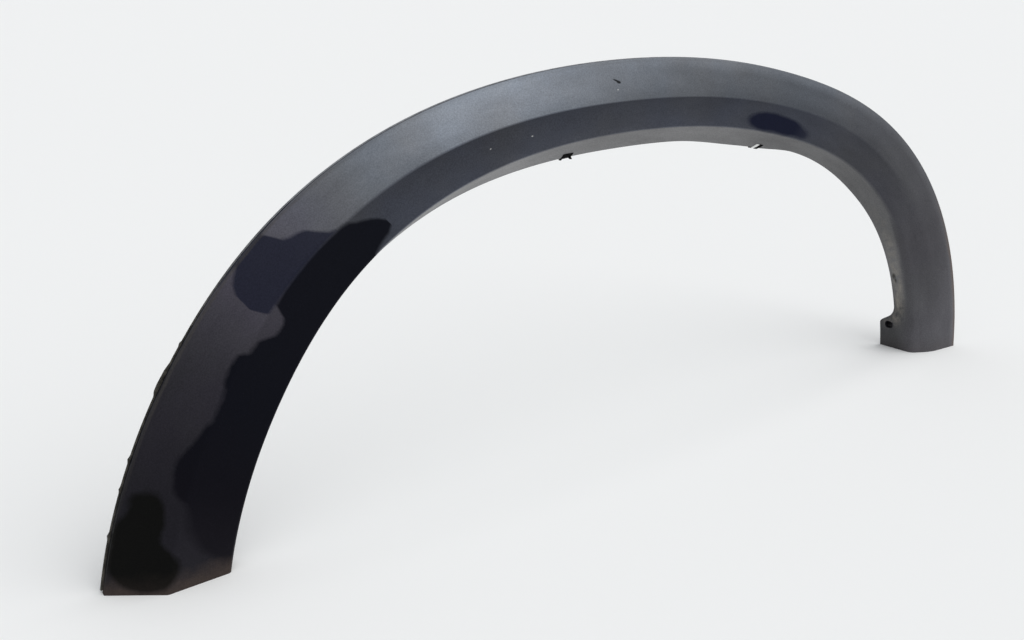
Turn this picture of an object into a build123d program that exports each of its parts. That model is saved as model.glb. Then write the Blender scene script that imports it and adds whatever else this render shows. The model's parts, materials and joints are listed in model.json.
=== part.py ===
from build123d import *
import math
import os
import numpy

# Wheel arch trim: one moulded band with a crease, a slanted return flange and a screw tab,
# an edge seal behind its outer edge, push-in retainers on its back and two clips on the flange.
# X runs from the front foot to the rear foot, the outer face looks towards -Y, Z is up.

# Inner edge: distance from the wheel centre, from the front foot round to the rear foot
opening_front_foot = 388.5
opening_front_shin = 388.4
opening_front_leg = 390.4
opening_front_knee = 394.7
opening_front_shoulder = 392.4
opening_front_crown = 384.5
opening_crown = 380.4
opening_rear_crown = 386.8
opening_rear_shoulder = 403.0
opening_rear_knee = 424.8
opening_rear_leg = 435.5
opening_rear_shin = 428.0
opening_rear_foot = 408.5
wheel_centre_drop = 88.0     # wheel centre below the plane of the feet

# Band: width across the face, and where the crease runs, measured out from the inner edge
band_front_foot = 87.8
band_front_leg = 76.6
band_front_shoulder = 62.9
band_crown = 59.2
band_rear_shoulder = 58.6
band_rear_leg = 61.5
band_rear_foot = 59.0
crease_front_foot = 47.5
crease_front_leg = 44.2
crease_front_shoulder = 34.1
crease_crown = 26.5
crease_rear_shoulder = 27.4
crease_rear_leg = 26.7
crease_rear_foot = 20.0

# Depths: how far the crease stands proud of the inner edge, and how far the outer edge sits behind the crease
crease_rise_front_foot = 3.0
crease_rise_front_leg = 2.3
crease_rise_crown = 2.0
crease_rise_rear_shoulder = 3.1
crease_rise_rear_leg = 6.8
crease_rise_rear_foot = 13.0
outer_fall_front_foot = 26.0
outer_fall_front_leg = 28.7
outer_fall_front_shoulder = 20.8
outer_fall_crown = 7.5
outer_fall_rear_shoulder = 3.9
outer_fall_rear_leg = 2.1
outer_fall_rear_foot = -3.0
inner_edge_depth = 9.0       # inner edge in front of the middle plane

# Section
wall = 2.8
crease_radius_front = 5.0
crease_radius_crown = 6.0
crease_radius_rear_shoulder = 18.0
crease_radius_rear_foot = 46.0
edge_radius_front = 3.2         # inner edge
edge_radius_rear_shoulder = 5.0
edge_radius_rear_foot = 12.0
outer_edge_radius = 2.2
bead_depth = 4.5             # thickened outer edge
bead_width = 6.0
flange_line = ((-84.0, 17.0), (-30.0, 17.2), (-14.0, 17.8), (-4.0, 17.8), (10.0, 17.3), (22.5, 21.4),
               (26.8, 21.4), (33.0, 16.6), (50.0, 21.4), (84.0, 21.0))  # angle, depth from the inner edge
flange_spare = 4.0           # cut off again behind the tab
flange_run = 16.0            # depth over which the flange drops towards the wheel by
flange_drop_front_foot = 6.0
flange_drop_front_leg = 4.0
flange_drop_front_shoulder = 10.4
flange_drop_crown = 15.0
flange_drop_rear_shoulder = 12.0
flange_drop_rear_leg = 6.4
flange_drop_rear_foot = 0.5

# Screw tab on the flange at the rear foot, with a bored boss on its far side
tab_depth = 39.0             # from the inner edge to the rear of the tab
tab_rear_height = 32.0
tab_front_height = 43.0
tab_corner_radius = 5.0
tab_blend_radius = 20.0
tab_lap = 0.4                # where its outline ends in front of the flange's edge
screw_hole_radius = 4.2
screw_hole_inset = 11.0      # from the rear of the tab
screw_hole_height = 24.6
boss_radius = 7.2
boss_length = 11.0
boss_start = 1.4             # inside the wall, behind its leaning front
boss_inset = 0.5             # short of the bore's end

# Retainer towers on the back of the crease
tower_count = 6
tower_reach = 61.0           # angle of the first and the last tower, in degrees
tower_length = 22.0
tower_width = 16.0
tower_height = 17.0
tower_wall = 2.0
tower_gap = 0.2              # between the moulding's back and the room in a tower
slot_width = 7.0

# Push-in retainers
retainer_neck_radius = 3.3
retainer_head_radius = 5.5
retainer_washer_radius = 7.5
retainer_plate = 1.5
washer_bevel = 0.6
stem_length = 13.0
stem_radius = 2.4
barb_radius = 4.4
barb_start = 3.9             # up the stem
barb_end = 8.1
barb_thin = 0.6              # barb's rear over the stem
nose_radius = 3.6
tip_radius = 1.0

# Edge seal
seal_width = 5.0
seal_thickness = 2.6
seal_overhang = 0.8
seal_chamfer = 0.45          # front corner of its lip
seal_bevel = 1.1             # rear corner of its lip
seal_heel = 2.1              # thickness at its inner side
seal_lift = 2.0              # its ends above the plane of the feet

# Flange clips
clip_length = 12.5
clip_leg = 6.5
clip_far_leg = 4.5
clip_sheet = 1.2
clip_prong = 3.0
clip_prong_width = 2.2
clip_prong_spread = 0.62     # share of half its length
clip_prong_root = 1.0        # how deep a prong is set into the strip
left_clip_angle = -8.1
right_clip_angle = 25.7

arch_half_angle = 84.0
section_step = 7.0
ample = 1000.0               # size of the blocks that cut
reach_past = 10.0            # how far a cutter reaches past what it cuts
spare_width = 60.0           # how far the cut behind the flange reaches towards the wheel
spare_step = 4.0             # angle between its sections, and that where the flange's depth changes fast
spare_fine_step = 1.0
spare_fine_ends = (20.0, 36.0)
inside_depth = 1.2           # how deep the tower feet reach into the wall
touch = 0.03                 # gap left where a separate piece lies on the moulding


def through(*values):
    # smooth curve through values at even angles from the front foot to the rear foot
    count = len(values)
    pitch = 2 * arch_half_angle / (count - 1)
    grid = numpy.eye(count)
    side = numpy.zeros(count)
    for i in range(1, count - 1):
        grid[i, i - 1:i + 2] = (1, 4, 1)
        side[i] = 6 * (values[i - 1] - 2 * values[i] + values[i + 1])
    bend = numpy.linalg.solve(grid, side)

    def at(angle):
        i = min(max(int((angle + arch_half_angle) // pitch), 0), count - 2)
        u = (angle + arch_half_angle) / pitch - i
        v = 1 - u
        return float(v * values[i] + u * values[i + 1]
                     + ((v**3 - v) * bend[i] + (u**3 - u) * bend[i + 1]) / 6)
    return at


opening = through(opening_front_foot, opening_front_shin, opening_front_leg, opening_front_knee,
                  opening_front_shoulder, opening_front_crown, opening_crown, opening_rear_crown,
                  opening_rear_shoulder, opening_rear_knee, opening_rear_leg, opening_rear_shin, opening_rear_foot)
band = through(band_front_foot, band_front_leg, band_front_shoulder, band_crown, band_rear_shoulder, band_rear_leg,
               band_rear_foot)
crease = through(crease_front_foot, crease_front_leg, crease_front_shoulder, crease_crown, crease_rear_shoulder,
                 crease_rear_leg, crease_rear_foot)
rise = through(crease_rise_front_foot, crease_rise_front_leg, crease_rise_crown, crease_rise_crown,
               crease_rise_rear_shoulder, crease_rise_rear_leg, crease_rise_rear_foot)
fall = through(outer_fall_front_foot, outer_fall_front_leg, outer_fall_front_shoulder, outer_fall_crown,
               outer_fall_rear_shoulder, outer_fall_rear_leg, outer_fall_rear_foot)
drop = through(flange_drop_front_foot, flange_drop_front_leg, flange_drop_front_shoulder, flange_drop_crown,
               flange_drop_rear_shoulder, flange_drop_rear_leg, flange_drop_rear_foot)
crease_radius = through(crease_radius_front, crease_radius_front, crease_radius_crown, crease_radius_rear_shoulder,
                        crease_radius_rear_foot)
edge_radius = through(edge_radius_front, edge_radius_front, edge_radius_front, edge_radius_rear_shoulder,
                      edge_radius_rear_foot)


def flange(angle):
    # depth of the flange, by soft steps between the angles of its table
    for (a, low), (b, high) in zip(flange_line, flange_line[1:]):
        if angle <= b:
            break
    u = min(max((angle - a) / (b - a), 0.0), 1.0)
    return low + (high - low) * u * u * (3 - 2 * u)


def radial_plane(angle):
    a = math.radians(angle)
    return Plane(origin=(0, 0, -wheel_centre_drop), x_dir=(math.sin(a), 0, math.cos(a)),
                 z_dir=(-math.cos(a), 0, math.sin(a)))


def arch_point(angle, out, depth):
    a = math.radians(angle)
    r = opening(angle) + out
    return Vector(r * math.sin(a), depth, r * math.cos(a) - wheel_centre_drop)


def face_corners(angle):
    # outer edge, crease, inner edge and the end of the uncut flange, as (out from the inner edge, depth)
    inner = (0.0, -inner_edge_depth)
    top = (crease(angle), -inner_edge_depth - rise(angle))
    outer = (band(angle), top[1] + fall(angle))
    reach = (tab_depth + flange_spare) / flange_run
    end = (-drop(angle) * reach, inner[1] + flange_run * reach)
    return [outer, top, inner, end]


def behind(chain, gap):
    # the same chain of lines moved back by gap
    lines = []
    for p, q in zip(chain, chain[1:]):
        length = math.dist(p, q)
        normal = ((q[1] - p[1]) / length * gap, -(q[0] - p[0]) / length * gap)
        lines.append(((p[0] + normal[0], p[1] + normal[1]), (q[0] + normal[0], q[1] + normal[1])))
    moved = [lines[0][0]]
    for (p, q), (r, s) in zip(lines, lines[1:]):
        d, e = (q[0] - p[0], q[1] - p[1]), (s[0] - r[0], s[1] - r[1])
        t = ((r[0] - p[0]) * e[1] - (r[1] - p[1]) * e[0]) / (d[0] * e[1] - d[1] * e[0])
        moved.append((p[0] + t * d[0], p[1] + t * d[1]))
    return moved + [lines[-1][1]]


def along(p, q, out):
    # point on the line p-q at a given distance out
    return (out, p[1] + (q[1] - p[1]) * (out - p[0]) / (q[0] - p[0]))


def rounded_wire(angle, corners):
    # closed outline in the radial plane; each corner is ((out, depth), radius)
    count = len(corners)
    marks = []
    for i, (point, radius) in enumerate(corners):
        back, ahead = corners[i - 1][0], corners[(i + 1) % count][0]
        a = Vector(back[0] - point[0], back[1] - point[1]).normalized()
        b = Vector(ahead[0] - point[0], ahead[1] - point[1]).normalized()
        here = Vector(point[0], point[1])
        if radius == 0:
            marks.append((here, None, here))
            continue
        half = math.acos(max(-1.0, min(1.0, a.dot(b)))) / 2
        cut = radius / math.tan(half)
        middle = here + (a + b).normalized() * (radius / math.sin(half) - radius)
        marks.append((here + a * cut, middle, here + b * cut))
    plane = radial_plane(angle)
    base = opening(angle)

    def place(v):
        return plane.from_local_coords((v.X + base, v.Y, 0))

    edges = []
    for i, (start, middle, finish) in enumerate(marks):
        if middle is not None:
            edges.append(Edge.make_three_point_arc(place(start), place(middle), place(finish)))
        edges.append(Edge.make_line(place(finish), place(marks[(i + 1) % count][0])))
    return Wire(edges)


def moulding_wire(angle):
    front = face_corners(angle)
    back = behind(front, wall)
    outer = front[0]
    bead_back = outer[1] + bead_depth
    bead_in = outer[0] - bead_width
    radius = crease_radius(angle)
    return rounded_wire(angle, [
        ((outer[0], bead_back), 0), (front[0], outer_edge_radius), (front[1], radius),
        (front[2], edge_radius(angle)), (front[3], 0), (back[3], 0), (back[2], 0),
        (back[1], 0), (along(back[0], back[1], bead_in), 0), ((bead_in, bead_back), 0)])


def seal_wire(angle):
    outer = face_corners(angle)[0]
    at = outer[1] + bead_depth + touch
    lip = outer[0] + seal_overhang
    return rounded_wire(angle, [
        ((outer[0] - seal_width, at), 0), ((lip - seal_chamfer, at), 0), ((lip, at + seal_chamfer), 0),
        ((lip, at + seal_thickness - seal_bevel), 0), ((lip - seal_bevel, at + seal_thickness), 0),
        ((outer[0] - seal_width, at + seal_heel), 0)])


def lofted(wire, first, last, count):
    return Solid.make_loft([wire(first + (last - first) * i / (count - 1)) for i in range(count)])


below = Pos(0, 0, -ample / 2) * Box(2 * ample, ample, ample)
stations = 2 * round(arch_half_angle / section_step) + 1
shell = lofted(moulding_wire, -arch_half_angle, arch_half_angle, stations)

# The flange is cut back to its depth, except for the tab at the rear foot
def spare_wire(angle):
    rear = flange(angle) - inner_edge_depth
    far = rear + 2 * tab_depth
    return rounded_wire(angle, [((-spare_width, rear), 0), ((reach_past, rear), 0), ((reach_past, far), 0),
                                ((-spare_width, far), 0)])


turns = set(numpy.arange(-arch_half_angle, arch_half_angle + spare_step, spare_step).tolist())
turns |= set(numpy.arange(*spare_fine_ends, spare_fine_step).tolist())
spare = Solid.make_loft([spare_wire(turn) for turn in sorted(turns)], ruled=True)
tab_rear = tab_depth - inner_edge_depth
edge = flange(arch_half_angle) - inner_edge_depth - tab_lap
tab_side = make_face(Polyline(
    (0, edge - reach_past, -reach_past), (0, tab_rear, -reach_past), (0, tab_rear, tab_rear_height),
    (0, edge, tab_front_height), (0, edge, tab_front_height * 2), (0, edge - reach_past, tab_front_height * 2),
    close=True))
tab_side = fillet(tab_side.vertices().sort_by_distance((0, tab_rear, tab_rear_height))[0], tab_corner_radius)
tab_side = fillet(tab_side.vertices().sort_by_distance((0, edge, tab_front_height))[0], tab_blend_radius)
tab_keep = extrude(tab_side, ample, dir=(1, 0, 0)).moved(Pos(opening_rear_foot / 2, 0, 0))
shell = shell.cut(below).cut(spare - tab_keep)

# Screw hole, square to the tab
hole_angle = math.degrees(math.acos((wheel_centre_drop + screw_hole_height) / opening_rear_foot))
hole_depth = tab_rear - screw_hole_inset
hole_out = -drop(hole_angle) * (tab_depth - screw_hole_inset) / flange_run
lower, upper = arch_point(hole_angle + 1, 0, 0), arch_point(hole_angle - 1, 0, 0)
run = (upper - lower).normalized()
hole_axis = Vector(run.Z, 0, -run.X)
hole_mouth = arch_point(hole_angle, hole_out, hole_depth)
seat = Plane(origin=hole_mouth, z_dir=hole_axis).location
boss_run = boss_length - boss_start - boss_inset
boss = seat * Pos(0, 0, boss_start + boss_run / 2) * Cylinder(boss_radius, boss_run)
bore = seat * Pos(0, 0, boss_length / 2) * Cylinder(screw_hole_radius, boss_length + 2 * reach_past)

# Towers with a slotted top plate, standing on the back of the crease and open at one end
grown = [boss]
retainers = []


def across(angle, depth, half_width, rear):
    # outline across a tower: from depth behind the face back to the rear plane
    chain = behind(face_corners(angle), depth)
    middle = crease(angle)
    out, near = along(chain[0], chain[1], middle + half_width), along(chain[1], chain[2], middle - half_width)
    plane = radial_plane(angle)
    loop = [out, chain[1], near, (near[0], rear), (out[0], rear)]
    return make_face(Polyline(*[plane.from_local_coords((p[0] + opening(angle), p[1], 0)) for p in loop], close=True))


for i in range(tower_count):
    angle = -tower_reach + 2 * tower_reach * i / (tower_count - 1)
    top = face_corners(angle)[1]
    foot = arch_point(angle, top[0], top[1])
    plate_rear = top[1] + tower_height
    forward = Vector(math.cos(math.radians(angle)), 0, -math.sin(math.radians(angle)))
    spot = Location(Plane(origin=(foot.X, plate_rear, foot.Z), x_dir=forward, z_dir=(0, 1, 0)))
    tower = extrude(across(angle, inside_depth, tower_width / 2, plate_rear), tower_length / 2, both=True)
    room = extrude(across(angle, wall + tower_gap, tower_width / 2 - tower_wall, plate_rear - tower_wall),
                   tower_length / 2, both=True).moved(Location(forward * tower_wall))
    slot = Cylinder(slot_width / 2, tower_wall * 3) + Pos(tower_length / 2, 0, 0) * Box(
        tower_length, slot_width, tower_wall * 3)
    grown.append(tower - room - spot * slot)
    turned = Polyline((0, -tower_wall - retainer_plate), (retainer_head_radius, -tower_wall - retainer_plate),
                      (retainer_head_radius, -tower_wall), (retainer_neck_radius, -tower_wall),
                      (retainer_neck_radius, 0), (retainer_washer_radius, 0),
                      (retainer_washer_radius - washer_bevel, retainer_plate), (stem_radius, retainer_plate),
                      (stem_radius, retainer_plate + barb_start), (barb_radius, retainer_plate + barb_start),
                      (stem_radius + barb_thin, retainer_plate + barb_end), (nose_radius, retainer_plate + barb_end),
                      (tip_radius, retainer_plate + stem_length), (0, retainer_plate + stem_length), close=True)
    body = revolve(Plane.XZ * make_face(turned), Axis.Z)
    retainers.append(spot * body)

shell = shell.fuse(*grown).cut(bore)
seal = lofted(seal_wire, -arch_half_angle, arch_half_angle, stations) - below.moved(Pos(0, 0, seal_lift))


def clip(angle, prongs):
    # bent strip gripping the rear edge of the flange
    depth = flange(angle)
    rear = depth - inner_edge_depth
    half = math.degrees(clip_length / 2 / opening_crown)

    def strip(a):
        front = face_corners(a)
        back = behind(front, wall)
        run = Vector(front[3][0] - front[2][0], front[3][1] - front[2][1]).normalized()
        side = Vector(run.Y, -run.X)
        near = Vector(front[2][0], front[2][1]) + run * (depth / run.Y)
        far = Vector(back[2][0], back[2][1]) + run * ((rear - back[2][1]) / run.Y)
        near, far = near - side * touch + Vector(0, touch), far + side * touch + Vector(0, touch)
        tip_near, tip_far = near - run * clip_leg, far - run * clip_far_leg
        loop = [tip_near, near, far, tip_far, tip_far + side * clip_sheet,
                far + side * clip_sheet + Vector(0, clip_sheet), near - side * clip_sheet + Vector(0, clip_sheet),
                tip_near - side * clip_sheet]
        return rounded_wire(a, [((v.X, v.Y), 0) for v in loop])

    shape = lofted(strip, angle - half, angle + half, 3)
    if prongs:
        drop_at = -drop(angle) * depth / flange_run
        for s in (-1, 1):
            a = angle + s * half * clip_prong_spread
            at = arch_point(a, drop_at - (clip_prong + clip_sheet) / 2, rear + clip_sheet / 2 + touch)
            leg = Box(clip_prong_width, clip_sheet, clip_prong + 2 * clip_prong_root)
            shape = shape + Location(at, (0, a, 0)) * leg
    return shape


left_clip = clip(left_clip_angle, True)
right_clip = clip(right_clip_angle, False)

# The frame's origin is the middle of the whole part's box, on the plane of the feet
retainer_set = Compound(children=retainers)
boxes = [s.bounding_box() for s in (shell, seal, left_clip, right_clip, retainer_set)]
mid_x = (min(b.min.X for b in boxes) + max(b.max.X for b in boxes)) / 2
mid_y = (min(b.min.Y for b in boxes) + max(b.max.Y for b in boxes)) / 2
home = Pos(-mid_x, -mid_y, 0)

os.makedirs("parts", exist_ok=True)
export_step(home * shell, "parts/arch_moulding.step")
export_step(home * seal, "parts/edge_seal.step")
export_step(home * retainer_set, "parts/retainers.step")
export_step(home * left_clip, "parts/flange_clip_left.step")
export_step(home * right_clip, "parts/flange_clip_right.step")
print("moved by", round(-mid_x, 3), round(-mid_y, 3))
print("screw hole", hole_mouth - Vector(mid_x, mid_y, 0), "axis", hole_axis)
for label, b in zip(("arch_moulding", "edge_seal", "left_clip", "right_clip", "retainers"), boxes):
    print(label, b.min, b.max)
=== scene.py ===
import bmesh
import bpy
import json
import math
import numpy
from mathutils import Matrix, Vector


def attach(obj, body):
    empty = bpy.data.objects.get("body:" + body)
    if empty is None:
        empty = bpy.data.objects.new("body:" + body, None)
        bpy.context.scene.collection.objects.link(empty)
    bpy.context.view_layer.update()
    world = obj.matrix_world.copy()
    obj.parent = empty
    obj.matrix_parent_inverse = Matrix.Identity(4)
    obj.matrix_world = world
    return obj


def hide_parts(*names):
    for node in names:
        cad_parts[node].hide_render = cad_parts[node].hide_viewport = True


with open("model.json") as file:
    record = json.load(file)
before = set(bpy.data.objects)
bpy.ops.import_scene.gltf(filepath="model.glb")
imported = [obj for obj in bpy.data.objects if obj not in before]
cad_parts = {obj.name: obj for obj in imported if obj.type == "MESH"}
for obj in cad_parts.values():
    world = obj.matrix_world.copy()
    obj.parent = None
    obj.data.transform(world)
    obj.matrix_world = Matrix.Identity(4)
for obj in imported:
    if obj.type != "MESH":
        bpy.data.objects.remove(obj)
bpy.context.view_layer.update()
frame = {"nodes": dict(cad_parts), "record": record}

scene = bpy.context.scene
mm = 0.001
print("frame loaded:", ", ".join(sorted(frame["nodes"])))


class Wiring:  # writes nodes and links into a tree
    def __init__(self, tree):
        self.tree = tree

    def add(self, kind, values=None, **settings):
        node = self.tree.nodes.new(kind)
        for key, value in settings.items():
            setattr(node, key, value)
        for key, value in (values or {}).items():
            if isinstance(value, bpy.types.NodeSocket):
                self.tree.links.new(value, node.inputs[key])
            else:
                node.inputs[key].default_value = value
        return node

    def calc(self, operation, *terms):
        return self.add("ShaderNodeMath", dict(enumerate(terms)), operation=operation).outputs[0]

    def chain(self, operation, first, *others):
        for other in others:
            first = self.calc(operation, first, other)
        return first

    def plus(self, *terms):
        return self.chain("ADD", *terms)

    def minus(self, *terms):
        return self.chain("SUBTRACT", *terms)

    def times(self, *terms):
        return self.chain("MULTIPLY", *terms)

    def over(self, *terms):
        return self.chain("DIVIDE", *terms)

    def most(self, *terms):
        return self.chain("MAXIMUM", *terms)

    def timesPlus(self, value, factor, rest):
        return self.calc("MULTIPLY_ADD", value, factor, rest)

    def vector(self, operation, *terms):
        node = self.add("ShaderNodeVectorMath", dict(enumerate(terms)), operation=operation)
        return node.outputs["Value" if operation in ("DOT_PRODUCT", "LENGTH") else "Vector"]

    def scaled(self, vector, factor):
        node = self.add("ShaderNodeVectorMath", {0: vector, "Scale": factor}, operation="SCALE")
        return node.outputs["Vector"]

    def pair(self, out, depth):
        return self.add("ShaderNodeCombineXYZ", {"X": out, "Y": depth}).outputs[0]

    def parts(self, vector):
        return self.add("ShaderNodeSeparateXYZ", {0: vector}).outputs

    def ramp(self, value, low, high, first=0.0, last=1.0):
        values = {"Value": value, "From Min": low, "From Max": high, "To Min": first, "To Max": last}
        return self.add("ShaderNodeMapRange", values).outputs["Result"]

    def blend(self, factor, first, second, clamp=True):
        colours = {0: factor, 6: first, 7: second}
        return self.add("ShaderNodeMix", colours, data_type="RGBA", clamp_factor=clamp).outputs[2]

    def mixed(self, factor, first, second):
        return self.add("ShaderNodeMix", {0: factor, 2: first, 3: second}, data_type="FLOAT").outputs[0]

    def noise(self, where, scale, detail=3.0, roughness=0.55):
        values = {"Vector": where, "Scale": scale, "Detail": detail, "Roughness": roughness}
        return self.add("ShaderNodeTexNoise", values).outputs["Fac"]


def newMaterial(name):
    material = bpy.data.materials.new(name)
    material.use_nodes = True
    return material, Wiring(material.node_tree), material.node_tree.nodes["Principled BSDF"]


def join(wiring, socket, shader, name):
    wiring.tree.links.new(socket, shader.inputs[name])


shot = {
    "place": (-0.57117, -0.72799, 0.43996),  # camera, metres
    "heading": 32.16,  # degrees from +Y towards +X
    "dip": 18.99,  # degrees below the horizon
    "roll": -1.58,
    "lens": 37.69,  # mm
    "sensor": 36,  # mm wide
    "farthest": 80,  # metres
}


def setCamera():
    heading, dip, roll = (math.radians(shot[key]) for key in ("heading", "dip", "roll"))
    ahead = Vector((math.sin(heading) * math.cos(dip), math.cos(heading) * math.cos(dip), -math.sin(dip)))
    right = Vector((math.cos(heading), -math.sin(heading), 0))
    up = right.cross(ahead)
    across = right * math.cos(roll) + up * math.sin(roll)
    upward = up * math.cos(roll) - right * math.sin(roll)
    turn = Matrix((across, upward, -ahead)).transposed()
    data = bpy.data.cameras.new("camera")
    data.lens = shot["lens"]
    data.sensor_width = shot["sensor"]
    data.clip_end = shot["farthest"]
    camera = bpy.data.objects.new("camera", data)
    camera.matrix_world = Matrix.Translation(shot["place"]) @ turn.to_4x4()
    scene.collection.objects.link(camera)
    scene.camera = camera


stageLook = {
    "floorColour": (0.86, 0.86, 0.85, 1),
    "floorRoughness": 0.9,
    "floorSpecular": 0.1,
    "floorSpan": 60,
    "skyColour": (0.93, 0.96, 1.0, 1),
    "skyStrength": 0.49,
    "backdropColour": (0.88, 0.89, 0.893, 1),  # seen behind the floor, as pale as the floor looks
    "sunTurn": (38, 6, 32),  # degrees
    "sunSpread": 80,  # degrees, for soft shadows
    "sunStrength": 2.2,
}


def setStage():
    bpy.ops.mesh.primitive_plane_add(size=stageLook["floorSpan"])
    floor = bpy.context.object
    floor.name = "floor"
    material, wiring, shader = newMaterial("paleFloor")
    shader.inputs["Base Color"].default_value = stageLook["floorColour"]
    shader.inputs["Roughness"].default_value = stageLook["floorRoughness"]
    shader.inputs["Specular IOR Level"].default_value = stageLook["floorSpecular"]
    floor.data.materials.append(material)
    world = bpy.data.worlds.new("softSky")
    scene.world = world
    world.use_nodes = True
    sky, wiring = world.node_tree.nodes["Background"], Wiring(world.node_tree)
    ray = wiring.add("ShaderNodeLightPath").outputs
    seen = wiring.most(ray["Is Camera Ray"], ray["Is Glossy Ray"], ray["Is Transmission Ray"])
    join(wiring, wiring.blend(seen, stageLook["skyColour"], stageLook["backdropColour"]), sky, "Color")
    join(wiring, wiring.mixed(seen, stageLook["skyStrength"], 1.0), sky, "Strength")
    data = bpy.data.lights.new("softSun", "SUN")
    data.angle = math.radians(stageLook["sunSpread"])
    data.energy = stageLook["sunStrength"]
    sun = bpy.data.objects.new("softSun", data)
    sun.rotation_euler = [math.radians(turn) for turn in stageLook["sunTurn"]]
    scene.collection.objects.link(sun)
    scene.view_settings.view_transform = "Standard"


setCamera()
setStage()
print("camera and stage set")

footAngle = 84  # degrees from the crown round to each foot
archRule = {  # millimetres, at even angles from the front foot round to the rear foot
    "opening": (388.5, 388.4, 390.4, 394.7, 392.4, 384.5, 380.4, 386.8, 403, 424.8, 435.5, 428, 408.5),
    "band": (87.8, 76.6, 62.9, 59.2, 58.6, 61.5, 59),  # width across the face, from the inner edge
    "crease": (47.5, 44.2, 34.1, 26.5, 27.4, 26.7, 20),  # out from the inner edge
    "rise": (3, 2.3, 2, 2, 3.1, 6.8, 13),  # crease proud of the inner edge
    "fall": (26, 28.7, 20.8, 7.5, 3.9, 2.1, -3),  # outer edge behind the crease
    "drop": (6, 4, 10.4, 15, 12, 6.4, 0.5),  # flange towards the wheel, over its nominal depth
    "bend": (5, 5, 6, 18, 46),  # crease radius
    "turn": (3.2, 3.2, 3.2, 5, 12),  # inner edge radius
}
archPlan = {"centreDrop": 88, "home": (-0.589, -3.617), "innerDepth": 9, "flange": 16}  # millimetres
flangeLine = ((-84, 17), (-30, 17.2), (-14, 17.8), (-4, 17.8), (10, 17.3), (22.5, 21.4), (26.8, 21.4),
              (33, 16.6), (50, 21.4), (84, 21))  # angle, depth from the inner edge
tabPlan = {"depth": 39, "rearHeight": 32, "rootDepth": 21, "rootHeight": 43, "corner": 5, "blend": 20,
           "low": -90, "high": 900, "fromAngle": 60}  # runs past both ends, and only on the rear leg


def through(values, angles):  # smooth curve through evenly spaced values
    count = len(values)
    grid = numpy.eye(count)
    side = numpy.zeros(count)
    for i in range(1, count - 1):
        grid[i, i - 1:i + 2] = (1, 4, 1)
        side[i] = 6 * (values[i - 1] - 2 * values[i] + values[i + 1])
    curve = numpy.linalg.solve(grid, side)
    table = numpy.array(values, float)
    spot = (numpy.asarray(angles, float) + footAngle) / (2 * footAngle) * (count - 1)
    i = numpy.clip(spot.astype(int), 0, count - 2)
    u = spot - i
    v = 1 - u
    return v * table[i] + u * table[i + 1] + ((v**3 - v) * curve[i] + (u**3 - u) * curve[i + 1]) / 6


def at(name, angle):
    return float(through(archRule[name], [angle])[0])


def archPoint(angle, out, depth):  # millimetres in, metres out
    turn = math.radians(angle)
    reach = at("opening", angle) + out
    home = archPlan["home"]
    return Vector((reach * math.sin(turn) + home[0], depth + home[1],
                   reach * math.cos(turn) - archPlan["centreDrop"])) * mm


def roundedLine(points, radii, steps=8):  # polyline with rounded inner corners
    line = [Vector(points[0])]
    for before, corner, after, radius in zip(points, points[1:], points[2:], radii):
        corner = Vector(corner)
        back = (Vector(before) - corner).normalized()
        ahead = (Vector(after) - corner).normalized()
        cut = radius / math.tan(back.angle(ahead) / 2)
        for i in range(steps + 1):
            u = i / steps
            line.append(corner + back * cut * (1 - u)**2 + ahead * cut * u**2)
    return line + [Vector(points[-1])]


def eased(table, where):  # values joined by soft steps
    spots, values = (numpy.array(column, float) for column in zip(*table))
    i = numpy.clip(numpy.searchsorted(spots, where) - 1, 0, len(spots) - 2)
    u = numpy.clip((where - spots[i]) / (spots[i + 1] - spots[i]), 0, 1)
    return values[i] + (values[i + 1] - values[i]) * u * u * (3 - 2 * u)


def flangeDepths(angles, reach):
    tip, root = tabPlan["depth"], tabPlan["rootDepth"]
    corners = ((tip, tabPlan["low"]), (tip, tabPlan["rearHeight"]), (root, tabPlan["rootHeight"]),
               (root, tabPlan["high"]))
    tab = roundedLine(corners, (tabPlan["corner"], tabPlan["blend"]))
    height = reach * numpy.cos(numpy.radians(angles)) - archPlan["centreDrop"]
    deep = numpy.interp(height, [point[1] for point in tab], [point[0] for point in tab])
    plain = eased(flangeLine, angles)
    return numpy.where(angles > tabPlan["fromAngle"], numpy.maximum(deep, plain), plain)


def evenAngles(*runs):  # runs of (first, last, step) in degrees
    return numpy.concatenate([numpy.arange(first, last, step) for first, last, step in runs])


def archGuide(name, angles, extra):  # loose points that carry the arch's sizes as attributes
    values = {key: through(table, angles) for key, table in archRule.items()}
    values["flange"] = flangeDepths(angles, values["opening"])
    values.update(extra)
    mesh = bpy.data.meshes.new(name)
    mesh.from_pydata([(angle, 0, 0) for angle in angles], [], [])
    mesh.attributes.new("angle", "FLOAT", "POINT").data.foreach_set("value", angles.astype("f"))
    for key, line in values.items():
        mesh.attributes.new(key, "FLOAT", "POINT").data.foreach_set("value", (line * mm).astype("f"))
    return mesh


def roundCorner(w, before, corner, after, radius):
    back = w.vector("NORMALIZE", w.vector("SUBTRACT", before, corner))
    ahead = w.vector("NORMALIZE", w.vector("SUBTRACT", after, corner))
    cosine = w.vector("DOT_PRODUCT", back, ahead)
    share = w.calc("SQRT", w.over(w.plus(1.0, cosine), w.minus(1.0, cosine)))
    cut = w.times(share, radius)
    first, last = (w.vector("ADD", corner, w.scaled(side, cut)) for side in (back, ahead))
    return first, corner, last


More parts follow.
